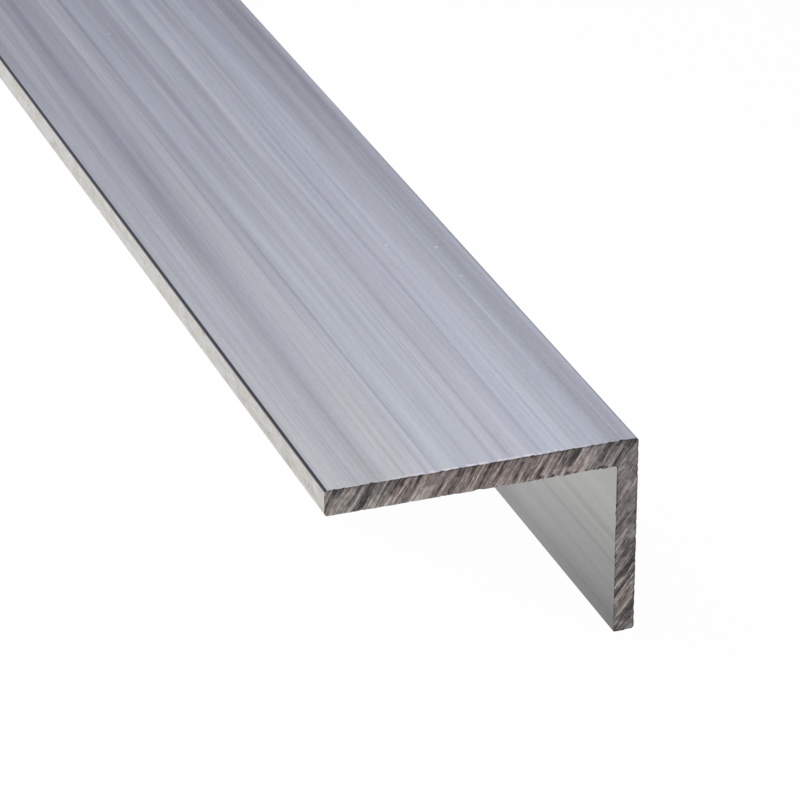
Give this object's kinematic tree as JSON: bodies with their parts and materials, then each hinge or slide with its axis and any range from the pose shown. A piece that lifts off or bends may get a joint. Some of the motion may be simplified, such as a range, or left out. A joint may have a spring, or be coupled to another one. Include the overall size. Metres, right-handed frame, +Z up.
{
  "type": "unequal aluminium angle profile",
  "caption": "Unequal L-shaped aluminium angle with a wide and a short leg, crisp corners, square sawn ends and a bare mill finish, for edging, trims and light frames.",
  "frame": {"origin": "middle of the length and width, on the level floor that the bar lies on", "axes": "+Y along the length with the pictured sawn end at -Y, +Z up with the heel uppermost, wide leg sloping down to -X and short leg to +X"},
  "size_m": [0.0452, 1, 0.0224],
  "materials": {
    "mill_aluminium": "bare mill finish with drawn streaks, sawn ends"
  },
  "bodies": {
    "root": {"angle_bar": "mill_aluminium"}
  },
  "joints": []
}
